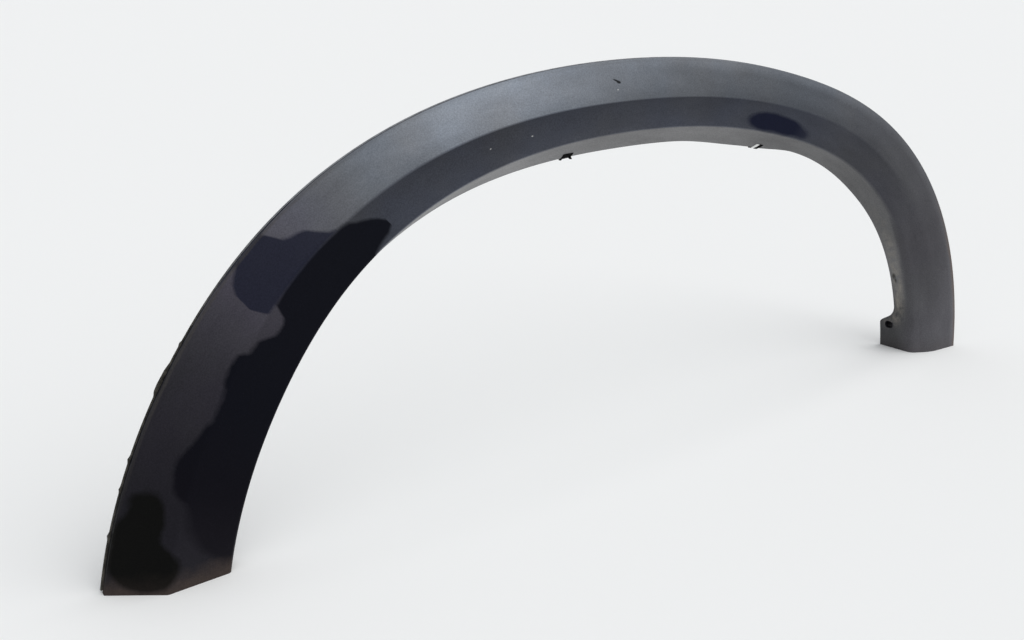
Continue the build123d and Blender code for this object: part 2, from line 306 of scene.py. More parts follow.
def backOf(w, before, corner, after, wall):  # corner moved behind both its lines
    sides = []
    for first, last in ((before, corner), (corner, after)):
        run = w.parts(w.vector("NORMALIZE", w.vector("SUBTRACT", last, first)))
        sides.append(w.pair(run["Y"], w.times(run["X"], -1.0)))
    middle = w.vector("NORMALIZE", w.vector("ADD", *sides))
    far = w.over(wall, w.vector("DOT_PRODUCT", middle, sides[0]))
    return w.vector("ADD", corner, w.scaled(middle, far))


def onLine(w, start, towards, origin, axis, value):  # from start, parallel to a line, up to a value
    run = w.vector("SUBTRACT", towards, origin)
    gap = w.minus(value, w.parts(start)[axis])
    return w.vector("ADD", start, w.scaled(run, w.over(gap, w.parts(run)[axis])))


def sectionDepths(w, station, size):  # of the inner edge, the crease, the outer edge and the bead's back
    front = w.times(size["Inner Depth"], -1.0)
    topDepth = w.minus(front, station["rise"])
    outerDepth = w.plus(topDepth, station["fall"])
    return front, topDepth, outerDepth, w.plus(outerDepth, size["Bead Depth"])


def mouldingSection(w, station, size):
    front, topDepth, outerDepth, beadBack = sectionDepths(w, station, size)
    beadIn = w.minus(station["band"], size["Bead Width"])
    rear = w.plus(station["flange"], front)
    lean = w.times(w.over(station["flange"], size["Flange Depth"]), station["drop"])
    inner = w.pair(0.0, front)
    top = w.pair(station["crease"], topDepth)
    outer = w.pair(station["band"], outerDepth)
    end = w.pair(w.times(lean, -1.0), rear)
    innerBack = backOf(w, top, inner, end, size["Wall"])
    topBack = backOf(w, outer, top, inner, size["Wall"])
    endBack = onLine(w, innerBack, end, inner, "Y", rear)
    beadFront = onLine(w, topBack, outer, top, "X", beadIn)
    beadEnd = w.pair(beadIn, beadBack)
    edge = w.pair(station["band"], beadBack)
    rounds = [roundCorner(w, *turn) for turn in (
        (edge, outer, top, size["Outer Radius"]), (outer, top, inner, station["bend"]),
        (top, inner, end, station["turn"]), (inner, end, endBack, size["Fine Radius"]),
        (end, endBack, innerBack, size["Fine Radius"]))]
    outerTurn, creaseTurn, innerTurn, endTurn, rearTurn = rounds
    return [("edge", 1, edge, outerTurn[0]), ("outerTurn", 5, *outerTurn),
            ("outerFacet", 8, outerTurn[2], creaseTurn[0]), ("creaseTurn", 8, *creaseTurn),
            ("innerFacet", 8, creaseTurn[2], innerTurn[0]), ("innerTurn", 6, *innerTurn),
            ("flangeFacet", 6, innerTurn[2], endTurn[0]), ("endTurn", 3, *endTurn),
            ("flangeEnd", 1, endTurn[2], rearTurn[0]), ("rearTurn", 3, *rearTurn),
            ("flangeBack", 4, rearTurn[2], innerBack), ("innerBack", 4, innerBack, topBack),
            ("outerBack", 4, topBack, beadFront), ("beadSide", 1, beadFront, beadEnd),
            ("beadBack", 1, beadEnd, edge)]


def sealSection(w, station, size):
    near = sectionDepths(w, station, size)[-1]
    far = w.plus(near, size["Thickness"])
    low = w.minus(station["band"], size["Width"])
    lip = w.plus(station["band"], station["lip"])
    corners = [w.pair(low, near), w.pair(lip, near), w.pair(lip, far), w.pair(low, far)]
    lipTurn = roundCorner(w, corners[0], corners[1], corners[2], size["Lip Radius"])
    rearTurn = roundCorner(w, corners[1], corners[2], corners[3], size["Lip Radius"])
    return [("front", 2, corners[0], lipTurn[0]), ("lipTurn", 4, *lipTurn),
            ("lip", 1, lipTurn[2], rearTurn[0]), ("rearTurn", 4, *rearTurn),
            ("rear", 2, rearTurn[2], corners[3]), ("inside", 1, corners[3], corners[0])]


class Stations(dict):  # reads one of the guide's attributes for a column of the skin
    def __init__(self, wiring, guide, column):
        super().__init__()
        self.wiring, self.guide, self.column = wiring, guide, column

    def __missing__(self, key):
        named = self.wiring.add("GeometryNodeInputNamedAttribute", {"Name": key}, data_type="FLOAT")
        pick = {"Geometry": self.guide, "Value": named.outputs["Attribute"], "Index": self.column}
        sample = self.wiring.add("GeometryNodeSampleIndex", pick, data_type="FLOAT", domain="POINT")
        self[key] = sample.outputs["Value"]
        return self[key]


def newTree(name, inputs, output):
    tree = bpy.data.node_groups.new(name, "GeometryNodeTree")
    for label, kind in inputs.items():
        tree.interface.new_socket(label, in_out="INPUT", socket_type="NodeSocket" + kind)
    tree.interface.new_socket(output, in_out="OUTPUT", socket_type="NodeSocketGeometry")
    w = Wiring(tree)
    return tree, w, w.add("NodeGroupInput").outputs


def sweepTree(name, sizes, section, facets):  # skin of a section carried along the guide's points
    inputs = {"Guide": "Geometry", **{label: "Float" for label in sizes}, "Finish": "Material"}
    tree, w, start = newTree(name, inputs, "Skin")
    count = w.add("GeometryNodeAttributeDomainSize", {"Geometry": start["Guide"]}).outputs["Point Count"]
    grid = w.add("GeometryNodeMeshGrid", {"Size X": 1.0, "Size Y": 1.0, "Vertices X": count})
    spot = w.parts(w.add("GeometryNodeInputPosition").outputs[0])
    column = w.calc("ROUND", w.times(w.plus(spot["X"], 0.5), w.minus(count, 1.0)))
    station = Stations(w, start["Guide"], column)
    pieces = section(w, station, start)
    rows = sum(piece[1] for piece in pieces)
    grid.inputs["Vertices Y"].default_value = rows + 1
    row = w.calc("ROUND", w.times(w.plus(spot["Y"], 0.5), float(rows)))
    place, facing, done = pieces[0][2], 1.0, 0
    for label, steps, *corners in pieces:  # each piece adds its own move to the row's place
        u = w.ramp(row, float(done), float(done + steps))
        done += steps
        whole = w.vector("SUBTRACT", corners[-1], corners[0])
        if len(corners) == 2:
            place = w.vector("ADD", place, w.scaled(whole, u))
        else:
            swing = w.times(u, w.minus(1.0, u), 2.0)
            bow = w.scaled(w.vector("SUBTRACT", corners[1], corners[0]), swing)
            place = w.vector("ADD", w.vector("ADD", place, bow), w.scaled(whole, w.times(u, u)))
        if label in facets:
            facing = w.minus(facing, w.times(u, facets[label]))
    turn = w.calc("RADIANS", station["angle"])
    flat = w.parts(place)
    reach = w.plus(station["opening"], flat["X"])
    x = w.times(reach, w.calc("SINE", turn))
    z = w.times(reach, w.calc("COSINE", turn))
    whole = w.add("ShaderNodeCombineXYZ", {"X": x, "Y": flat["Y"], "Z": z}).outputs[0]
    home = (archPlan["home"][0] * mm, archPlan["home"][1] * mm, -archPlan["centreDrop"] * mm)
    skin = grid.outputs["Mesh"]
    for key, value in (("along", station["angle"]), ("across", facing)):
        store = {"Geometry": skin, "Name": key, "Value": value}
        store = w.add("GeometryNodeStoreNamedAttribute", store, data_type="FLOAT", domain="POINT")
        skin = store.outputs["Geometry"]
    skin = w.add("GeometryNodeSetPosition", {"Geometry": skin, "Position": w.vector("ADD", whole, home)})
    skin = w.add("GeometryNodeMergeByDistance", {"Geometry": skin.outputs[0], "Distance": 1e-6})
    skin = w.add("GeometryNodeRealizeInstances", {"Geometry": skin.outputs[0]})
    skin = w.add("GeometryNodeSetMaterial", {"Geometry": skin.outputs[0], "Material": start["Finish"]})
    w.add("NodeGroupOutput", {"Skin": skin.outputs[0]})
    return tree


def newPiece(name, mesh):
    piece = bpy.data.objects.new(name, mesh)
    scene.collection.objects.link(piece)
    return piece


def applyModifiers(piece):
    bpy.context.view_layer.update()
    graph = bpy.context.evaluated_depsgraph_get()
    shaped = piece.evaluated_get(graph)
    mesh = bpy.data.meshes.new_from_object(shaped, preserve_all_data_layers=True, depsgraph=graph)
    piece.modifiers.clear()
    piece.data = mesh
    return mesh


def loft(work, rows, closed=False):  # skin over loops of points, with ends unless it closes on itself
    pairs = list(zip(rows, rows[1:])) + ([(rows[-1], rows[0])] if closed else [])
    count = len(rows[0])
    for low, high in pairs:
        for i in range(count):
            j = (i + 1) % count
            work.faces.new((low[i], low[j], high[j], high[i]))
    if not closed:
        work.faces.new(list(reversed(rows[0])))
        work.faces.new(rows[-1])


def shapedPiece(name, finish, fill):  # fill draws the faces into a bmesh
    mesh = bpy.data.meshes.new(name)
    work = bmesh.new()
    fill(work)
    bmesh.ops.recalc_face_normals(work, faces=work.faces[:])
    work.to_mesh(mesh)
    work.free()
    mesh.materials.append(finish)
    return newPiece(name, mesh)


def softEdges(piece, width, angle):  # bevels edges sharper than an angle in degrees
    bevel = piece.modifiers.new("softEdges", "BEVEL")
    bevel.width, bevel.segments, bevel.angle_limit = width * mm, 2, math.radians(angle)
    applyModifiers(piece)


def smoothShade(mesh, angle):
    for face in mesh.polygons:
        face.use_smooth = True
    mesh.set_sharp_from_angle(angle=math.radians(angle))


def bakeNodes(piece, tree, values):
    modifier = piece.modifiers.new("shape", "NODES")
    modifier.node_group = tree
    for item in tree.interface.items_tree:
        if item.item_type == "SOCKET" and item.in_out == "INPUT" and item.name in values:
            modifier[item.identifier] = values[item.name]
    mesh = applyModifiers(piece)
    mesh.materials.clear()
    mesh.materials.append(values["Finish"])
    mesh.polygons.foreach_set("material_index", [0] * len(mesh.polygons))


def standOnFloor(piece, height, angle):  # cuts the feet level and closes their ends
    mesh = piece.data
    work = bmesh.new()
    work.from_mesh(mesh)
    parts = work.verts[:] + work.edges[:] + work.faces[:]
    cut = bmesh.ops.bisect_plane(work, geom=parts, dist=1e-7, plane_co=(0, 0, height), plane_no=(0, 0, -1),
                                 clear_outer=True)
    rim = [edge for edge in cut["geom_cut"] if isinstance(edge, bmesh.types.BMEdge)]
    bmesh.ops.holes_fill(work, edges=rim, sides=0)
    bmesh.ops.recalc_face_normals(work, faces=work.faces[:])
    work.to_mesh(mesh)
    work.free()
    smoothShade(mesh, angle)


def textureSpace(w):
    return w.add("ShaderNodeTexCoord").outputs["Object"]


def bandPlace(w, name):  # a point's place along or across the band
    return w.add("ShaderNodeAttribute", attribute_name=name).outputs["Fac"]


def relief(w, shader, height, strength, depth):
    bump = w.add("ShaderNodeBump", {"Strength": strength, "Distance": depth, "Height": height})
    join(w, bump.outputs[0], shader, "Normal")


mottleRule = {
    "cloud": (5.0, 0.6),  # detail, roughness
    "cloudSpan": (0.35, 0.65),
    "glossFiner": 4,
    "glossSpan": (0.3, 0.7),
    "glossSwing": 0.07,
    "grainDetail": 2.0,
    "relief": (0.25, 0.0003),  # strength, metres
}
rubberLook = {  # black and dusty down the front leg, with painted light making it paler over the crown
    "dark": (0.016, 0.015, 0.013, 1),
    "light": (0.075, 0.07, 0.06, 1),
    "bleachedDark": (0.13, 0.135, 0.145, 1),
    "bleachedLight": (0.24, 0.245, 0.26, 1),
    "sunny": ((-54, -40), (30, 60, 1.0, 0.45)),  # degrees along the arch, share of painted light
    "scale": 160, "roughness": 0.75, "grain": 1200, "specular": 0.08,
}
nylonLook = {
    "dark": (0.66, 0.64, 0.57, 1),
    "light": (0.78, 0.77, 0.72, 1),
    "scale": 90, "roughness": 0.42, "grain": 2000, "specular": 0.5,
}
blackLook = {
    "dark": (0.0015, 0.0015, 0.0015, 1),
    "light": (0.004, 0.004, 0.004, 1),
    "scale": 300, "roughness": 0.55, "grain": 2500, "specular": 0.01,
}
whiteLook = {
    "dark": (0.74, 0.74, 0.72, 1),
    "light": (0.85, 0.85, 0.84, 1),
    "scale": 300, "roughness": 0.45, "grain": 2500, "specular": 0.5,
}


def mottled(name, look):  # two tones, uneven gloss and a fine grain
    material, w, shader = newMaterial(name)
    where = textureSpace(w)
    cloud = w.ramp(w.noise(where, look["scale"], *mottleRule["cloud"]), *mottleRule["cloudSpan"])
    colour = w.blend(cloud, look["dark"], look["light"])
    # painted light: a paler copy of the tones over the lit crown
    if "sunny" in look:
        along = bandPlace(w, "along")
        sun = w.times(*[w.ramp(along, *span) for span in look["sunny"]])
        colour = w.blend(sun, colour, w.blend(cloud, look["bleachedDark"], look["bleachedLight"]))
    join(w, colour, shader, "Base Color")
    gloss = w.noise(where, look["scale"] * mottleRule["glossFiner"])
    middle, swing = look["roughness"], mottleRule["glossSwing"]
    join(w, w.ramp(gloss, *mottleRule["glossSpan"], middle - swing, middle + swing), shader, "Roughness")
    relief(w, shader, w.noise(where, look["grain"], mottleRule["grainDetail"]), *mottleRule["relief"])
    shader.inputs["Specular IOR Level"].default_value = look["specular"]
    return material


bandMap = {"perDegree": 0.0073, "perFacet": 0.04}  # metres on the unrolled band
wornAndShadedTones = {
    "deep": (0.0042, 0.004, 0.0058, 1),
    "leg": (0.232, 0.214, 0.27, 1),
    "faded": (0.22, 0.242, 0.277, 1),
    "inner": (0.217, 0.238, 0.302, 1),
    "warm": (0.212, 0.207, 0.226, 1),
    # painted bounce light: the flange's lighter grey
    "flange": (0.268, 0.267, 0.27, 1),
    "pale": (0.24, 0.242, 0.25, 1),
    "wet": (0.0021, 0.0025, 0.0054, 1),
    "lowWet": (0.0036, 0.003, 0.0054, 1),
    "blue": (0.0117, 0.013, 0.0245, 1),
    "oval": (0.0035, 0.005, 0.017, 1),
    "soil": (0.0026, 0.0026, 0.0022, 1),
    "footDust": (0.058, 0.044, 0.038, 1),
    "edgeDust": (0.06, 0.056, 0.05, 1),
    "brownDust": (0.13, 0.096, 0.076, 1),
    "chalk": (0.3, 0.275, 0.24, 1),
    "speck": (0.6, 0.6, 0.58, 1),
}
# painted shade: the legs get a low share of the faded tone
legFadeAndShade = ((-84, 0.05), (-76, 0.045), (-70, 0.038), (-66, 0.052), (-62, 0.07), (-56, 0.11))
wornAndShadedLines = {
    # angle along the arch, share of the faded tone, with painted light and shade: lighter on the crown,
    # darker down the legs
    "outerFade": (*legFadeAndShade, (-52, 0.18), (-46, 0.28), (-39, 0.4), (-30, 0.62), (-25, 0.82), (-21, 0.98),
                  (-11, 0.87), (-3, 0.69), (10, 0.48), (22, 0.37), (35, 0.32), (57, 0.28), (66, 0.31),
                  (73, 0.4), (84, 0.47)),
    "innerFade": (*legFadeAndShade, (-48, 0.17), (-26, 0.168), (-12, 0.188), (2, 0.192), (16, 0.17), (38, 0.192),
                  (48, 0.212), (57, 0.262), (66, 0.315), (73, 0.4), (84, 0.47)),
    "flangeFade": ((-84, 0.5), (-30, 0.98), (-20, 0.97), (-13, 0.87), (0, 0.72), (15, 0.69), (28, 0.56),
                   (40, 0.55), (48, 0.44), (56, 0.46), (66, 0.56), (69, 0.48), (71.5, 0.27), (84, 0.22)),
    # place across the face, share of painted shade and light: darker in the crease, lighter towards both
    # edges
    "facetShade": ((-1, 1.28), (-0.85, 1.18), (-0.5, 1.0), (-0.1, 0.84), (0.02, 0.78), (0.12, 0.82),
                   (0.3, 0.93), (0.5, 1.01), (0.8, 1.08), (1, 1.14)),
    # angle along the arch, place across the face of a patch's upper or lower edge
    "wetEdge": ((-84, -1.0), (-77, -1.0), (-75.9, -0.92), (-73.8, -0.42), (-71.6, -0.18), (-69.2, -0.02),
                (-68.5, 0.16), (-67.4, 0.28), (-65.6, 0.32), (-63.8, 0.22), (-61.5, 0.1), (-59.3, 0.0),
                (-57.8, 0.03), (-56.4, 0.1), (-54.5, 0.12), (-53.1, -0.06), (-51.7, -0.1), (-49.5, -0.34),
                (-48.5, -0.24), (-48, 0.0), (-38.2, 0.0), (-36.8, -0.14), (-35, -0.36), (-34, -0.6),
                (-33.6, -0.9), (-33, -1.6), (84, -1.6)),
    "wetFloor": ((-84, -1.6), (-38.5, -1.6), (-37.5, -1.0), (-36.1, -0.9), (-34.3, -0.82), (-33.8, -0.7),
                 (84, -0.7)),
    "blueEdge": ((-84, -0.4), (-50.4, -0.4), (-49.9, 0.1), (-49.4, 0.62), (-48.4, 0.88), (-47.2, 1.0),
                 (-45.6, 1.15), (-44, 1.15), (-43.3, 0.98), (-42.8, 0.8), (-42.5, 0.62), (-41, 0.5),
                 (-39.4, 0.1), (-38.7, 0.02), (-38.2, -0.4), (84, -0.4)),
    "blueFloor": ((-84, 0.5), (-50, 0.5), (-49.6, 0.25), (-49.2, 0.08), (-48.7, -0.02), (-48, -0.4),
                  (84, -0.4)),
}
lineSpans = {  # lowest and highest value that a line's curve can hold
    "outerFade": (0.0, 1.0), "innerFade": (0.0, 1.0), "flangeFade": (0.0, 1.0), "facetShade": (0.5, 1.5),
    "wetEdge": (-2.0, 1.0), "wetFloor": (-2.0, 1.0), "blueEdge": (-0.5, 1.2), "blueFloor": (-0.5, 1.2),
}
wornPatches = {  # spots as angle, place across, half length, half width and turn; sizes in millimetres
    "oval": {"melt": 9, "ragged": 5, "edge": (-2.6, 1.8), "spots": (
        (23.6, -0.65, 24, 13.5, 0), (27, -0.67, 26, 12.5, -5), (30.2, -0.77, 12, 6.5, -8))},
    "soil": {"melt": 5, "ragged": 6, "edge": (-2, 2), "spots": (
        (-71.6, 0.57, 20, 12.5, 0), (-70.1, 0.62, 7.5, 11, 0), (-73.8, 0.64, 15, 15.5, 0),
        (-73, 0.8, 16, 9, -20), (-75.9, 0.47, 19, 24, 0))},
    "smudge": {"melt": 2, "ragged": 5, "edge": (-2, 1.5), "spots": (
        (65.4, -1.8, 3.2, 4, 20), (66.2, -1.72, 3, 2.5, 0))},
    "nick": {"melt": 1, "ragged": 0, "edge": (-0.3, 0.2), "spots": (
        (-1.4, 0.55, 4, 0.9, -31), (-1.15, 0.51, 2.2, 1.4, -31))},
    "speck": {"melt": 1, "ragged": 0, "edge": (-0.4, 0.2), "spots": (
        (-1.4, 0.32, 0.9, 0.8, 0), (-14.1, -0.48, 1.0, 0.8, 0), (-19.7, -0.42, 0.9, 0.7, 30))},
}
wornAndShadedZones = {  # from, to, first value, last value
    # along the arch, in degrees
    "creaseBlur": (50, 66, 0.03, 0.6),
    "flangeShift": (54, 66, 1.0, 1.22),
    "flangeBlur": (54, 66, 0.03, 0.26),
    "crownStart": (-37, -28),
    "innerCrown": (8, 34, 1.0, 0.0),
    "outerCrown": (36, 54, 1.0, 0.3),
    "liftStart": (-2, 14),
    "legEnd": (-46, -34),
    "warmStart": (28, 60),
    "patchRagged": (-51, -48, 0.16, 0.05),
    "patchBlur": (-72, -66, 0.13, 0.05),
    "ovalEnd": (29, 32.5, 1.0, 0.6),
    "wetChange": (-72, -58),
    "wetShare": (-77, -68, 0.55, 0.96),
    "footLeg": (-60, -50, 0.75, 0.2),
    "edgeCrown": (-45, -30, 0.42, 0.12),
    "edgeLeg": (-72, -60, 0.1, 1.0),
    "brownStart": (56, 66, 0.0, 0.55),
    "chalkStart": (50, 68),
    "chalkEnd": (72, 75, 1.0, 0.0),
    # across the band: 1 is the outer edge, 0 the crease, -1 the inner edge, -2 the flange's rear
    "crownSplit": (-0.05, 0.05),
    "innerSide": (-0.03, 0.03, 1.0, 0.0),
    "outerSide": (-0.03, 0.03),
    # painted highlight along the outer rim
    "edgeLift": (0.72, 0.98, 0.0, 0.42),
    # painted shade: -3 marks the bore's walls, which the finish darkens
    "boreFade": (-3.0, -2.2),
    "frontFace": (-1.15, -1.05),
    "edgeAcross": (0.97, 1.0),
    "brownAcross": (0.86, 1.0),
    "chalkRear": (-2.0, -1.8),
    "chalkFront": (-1.5, -1.15, 1.0, 0.0),
    # above the floor, in metres
    "footHeight": (0.002, 0.018, 1.0, 0.0),
    # over a noise
    "cloudSwing": (0.25, 0.75, 0.88, 1.1),
    "blotchSwing": (0.25, 0.75, 0.87, 1.13),
    "paleSpan": (0.4, 0.66, 0.0, 0.5),
    "streakSpan": (0.38, 0.66),
    "speckleSwing": (0.3, 0.7, 0.84, 1.16),
    "glossSpan": (0.3, 0.7, 0.44, 0.56),
}
wornNoise = {  # scale, detail, roughness
    "ragged": (70, 4.0, 0.6),
    "cloud": (9, 4.0, 0.55),
    "blotch": (46, 4.0, 0.62),
    "pale": (16, 3.0, 0.5),
    "streak": (130, 4.0, 0.65),
    "speckle": (900, 2.0, 0.6),
    "gloss": (40, 4.0),
    "grain": (1500, 2.0, 0.5),
    "coarseGrain": (420, 2.0),
}
wornShares = {
    "blue": 0.92, "oval": 0.94, "soil": 0.95, "smudge": 0.7, "nick": 0.9, "speck": 0.5, "chalk": 0.62,
    "soilOverDust": 0.8, "coarseGrain": 0.5, "nickDepth": -2.0,
    "dressedGloss": -0.1, "dustyGloss": 0.3,  # added to the roughness
    "footRagged": 0.02, "edgeRagged": 0.06, "brownRagged": 0.2,
}
wornShape = {
    "blotchStretch": (0.45, 1.0, 1.0), "streakStretch": (1.0, 1.0, 0.55),
    "relief": (0.35, 0.00022),  # strength, metres
    "specular": 0.04,
}


def edgeLine(w, place, points, low, high):  # curve through given points over a place along or across the band
    first, last = points[0][0], points[-1][0]
    node = w.add("ShaderNodeFloatCurve", {"Value": w.ramp(place, first, last)})
    curve = node.mapping.curves[0]
    for i, (spot, value) in enumerate(points):
        location = ((spot - first) / (last - first), (value - low) / (high - low))
        if i == 0:
            curve.points[0].location = location
        elif i == len(points) - 1:
            curve.points[len(curve.points) - 1].location = location
        else:
            curve.points.new(*location)
    node.mapping.update()
    return w.timesPlus(node.outputs[0], high - low, low)


def patchField(w, flat, spots, melt):  # distance from the rim of given ovals, negative inside
    field = None
    for angle, facet, length, width, turn in spots:
        values = {"Vector": flat, "Location": (angle * bandMap["perDegree"], facet * bandMap["perFacet"], 0),
                  "Rotation": (0, 0, math.radians(turn)), "Scale": (length * mm, width * mm, 1)}
        local = w.add("ShaderNodeMapping", values, vector_type="TEXTURE").outputs[0]
        least = min(length, width) * mm
        gap = w.timesPlus(w.vector("LENGTH", local), least, -least)
        field = gap if field is None else w.calc("SMOOTH_MIN", field, gap, melt * mm)
    return field


def wornPlastic():
    tone, share = wornAndShadedTones, wornShares
    material, w, shader = newMaterial("wornPlastic")
    where = textureSpace(w)
    along, across = bandPlace(w, "along"), bandPlace(w, "across")
    flat = w.pair(w.times(along, bandMap["perDegree"]), w.times(across, bandMap["perFacet"]))

    def noise(name, place=where):
        return w.noise(place, *wornNoise[name])

    def zone(name, value=along):
        return w.ramp(value, *wornAndShadedZones[name])

    def line(name, place=along):
        return edgeLine(w, place, wornAndShadedLines[name], *lineSpans[name])

    ragged = w.minus(noise("ragged"), 0.5)

    def roughened(name, value):
        return w.timesPlus(ragged, share[name], value)

    def patch(name):
        plan = wornPatches[name]
        gap = w.timesPlus(ragged, plan["ragged"] * mm, patchField(w, flat, plan["spots"], plan["melt"]))
        return w.ramp(gap, plan["edge"][0] * mm, plan["edge"][1] * mm, 1.0, 0.0)

    # faded tone with painted light and shade: lightest on the crown's outer facet, darker down the legs
    facing = w.ramp(w.over(across, zone("creaseBlur")), -1.0, 1.0)
    fadeAndShade = w.mixed(facing, line("innerFade"), line("outerFade"))
    # painted shade and light across the facets, full on the crown and easing off towards the feet
    crown = w.mixed(zone("crownSplit", across), zone("innerCrown"), zone("outerCrown"))
    shade = w.mixed(w.times(zone("crownStart"), crown), 1.0, line("facetShade", across))
    # painted highlight along the outer edge, from the crown round to the rear foot
    lift = w.times(zone("edgeLift", across), zone("liftStart"))
    fadeAndShade = w.times(fadeAndShade, w.timesPlus(lift, shade, shade))
    # painted bounce light: the flange is lighter, by its own fade line and tone
    behind = w.over(w.plus(across, zone("flangeShift")), zone("flangeBlur"))
    behind = w.ramp(behind, -1.0, 1.0, 1.0, 0.0)
    fadeAndShade = w.mixed(behind, fadeAndShade, line("flangeFade"))
    blotch = noise("blotch", w.vector("MULTIPLY", flat, wornShape["blotchStretch"]))
    fadeAndShade = w.times(fadeAndShade, zone("cloudSwing", noise("cloud")), zone("blotchSwing", blotch))
    # painted shade: the bore's walls are darkened to the deep tone
    fadeAndShade = w.times(fadeAndShade, zone("boreFade", across))  # bored walls stay deep
    faded = w.blend(zone("legEnd"), tone["leg"], tone["faded"])
    faded = w.blend(w.times(zone("innerSide", across), zone("legEnd")), faded, tone["inner"])
    faded = w.blend(zone("warmStart"), faded, tone["warm"])
    faded = w.blend(zone("paleSpan", noise("pale")), faded, tone["pale"])
    # painted bounce light on the flange
    faded = w.blend(behind, faded, tone["flange"])
    colour = w.blend(fadeAndShade, tone["deep"], faded, clamp=False)

    # dark, glossier patches with ragged edges
    rough = w.times(ragged, zone("patchRagged"))
    blur = zone("patchBlur")

    def below(name, first=0.0, last=1.0):
        gap = w.plus(w.minus(across, line(name)), rough)
        return w.ramp(w.over(gap, blur), -1.0, 1.0, last, first)

    face = zone("frontFace", across)
    wet = w.times(below("wetEdge"), below("wetFloor", 1.0, 0.0), face)
    blue = w.times(below("blueEdge"), below("blueFloor", 1.0, 0.0), zone("outerSide", across))
    oval = w.times(patch("oval"), face, zone("ovalEnd"))
    soil = patch("soil")
    darkPatchHere = w.blend(zone("wetChange"), tone["lowWet"], tone["wet"])
    colour = w.blend(w.times(wet, zone("wetShare")), colour, darkPatchHere)
    for name, mask in (("blue", blue), ("oval", oval), ("soil", soil)):
        colour = w.blend(w.times(mask, share[name]), colour, tone[name])

    # dust along the foot and the outer edge, chalk on the rear flange
    foot = zone("footHeight", roughened("footRagged", w.parts(where)["Z"]))
    foot = w.times(foot, w.minus(1.0, w.times(soil, share["soilOverDust"])), zone("footLeg"))
    edge = zone("edgeAcross", roughened("edgeRagged", across))
    edge = w.times(edge, zone("edgeCrown"), zone("edgeLeg"))
    brown = w.times(zone("brownAcross", roughened("brownRagged", across)), zone("brownStart"))
    streak = noise("streak", w.vector("MULTIPLY", where, wornShape["streakStretch"]))
    chalk = w.times(zone("streakSpan", streak), zone("chalkRear", across), zone("chalkFront", across))
    chalk = w.times(chalk, zone("chalkStart"), zone("chalkEnd"))
    for name, mask in (("footDust", foot), ("edgeDust", edge), ("brownDust", brown)):
        colour = w.blend(mask, colour, tone[name])
    colour = w.blend(w.times(chalk, share["chalk"]), colour, tone["chalk"])
    nick = patch("nick")
    colour = w.blend(w.times(patch("smudge"), share["smudge"]), colour, tone["soil"])
    colour = w.blend(w.times(nick, share["nick"]), colour, tone["soil"])
    colour = w.blend(w.times(patch("speck"), share["speck"]), colour, tone["speck"])
    colour = w.scaled(colour, zone("speckleSwing", noise("speckle")))
    join(w, colour, shader, "Base Color")

    # gloss and moulded grain
    gloss = zone("glossSpan", noise("gloss"))
    gloss = w.timesPlus(w.most(wet, soil, blue, oval), share["dressedGloss"], gloss)
    gloss = w.timesPlus(w.most(foot, edge, chalk), share["dustyGloss"], gloss)
    join(w, gloss, shader, "Roughness")
    grain = w.timesPlus(noise("coarseGrain"), share["coarseGrain"], noise("grain"))
    relief(w, shader, w.timesPlus(nick, share["nickDepth"], grain), *wornShape["relief"])
    shader.inputs["Specular IOR Level"].default_value = wornShape["specular"]
    return material


mouldingSizes = {  # millimetres
    "Inner Depth": archPlan["innerDepth"], "Wall": 2.8, "Bead Depth": 4.5, "Bead Width": 6,
    "Flange Depth": archPlan["flange"], "Outer Radius": 2.2, "Fine Radius": 0.7,
}
mouldingPlan = {  # runs as first angle, last angle and step
    "runs": ((-footAngle, 20, 0.7), (20, 38, 0.35), (38, 70, 0.7), (70, footAngle + 0.1, 0.2)),
    "facets": {"outerFacet": 0.96, "creaseTurn": 0.08, "innerFacet": 0.92, "innerTurn": 0.08,
               "flangeFacet": 0.96},  # share of the way across
    "sharp": 40,  # degrees
}
bossPlan = {
    "radius": 7.2, "start": 1.4, "end": 10.5, "bevel": 0.5,  # millimetres
    "sides": 40,
    # the bore's place makes the finish paint shade on its walls
    "across": -1.8, "boreAcross": -3.0,  # places on the finish
    "boreReach": 1.05,  # radius of what counts as the hole's wall, as a share of the hole's
}


def metres(sizes):
    return {key: size * mm for key, size in sizes.items()}


def finishPiece(piece, slot, *replaced):
    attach(piece, "root")
    if replaced:
        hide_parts(*replaced)
    return piece


def ring(work, radius, height, matrix, sides):
    turns = [2 * math.pi * i / sides for i in range(sides)]
    places = [Vector((radius * math.cos(turn), radius * math.sin(turn), height)) for turn in turns]
    return [work.verts.new(matrix @ place) for place in places]


def turned(work, profile, matrix, sides, closed=False):  # revolves (radius, height) points
    loft(work, [ring(work, radius, height, matrix, sides) for radius, height in profile], closed)


def angleAt(point):  # degrees round the wheel centre
    ahead, up = point.x - archPlan["home"][0] * mm, point.z + archPlan["centreDrop"] * mm
    return math.degrees(math.atan2(ahead, up))


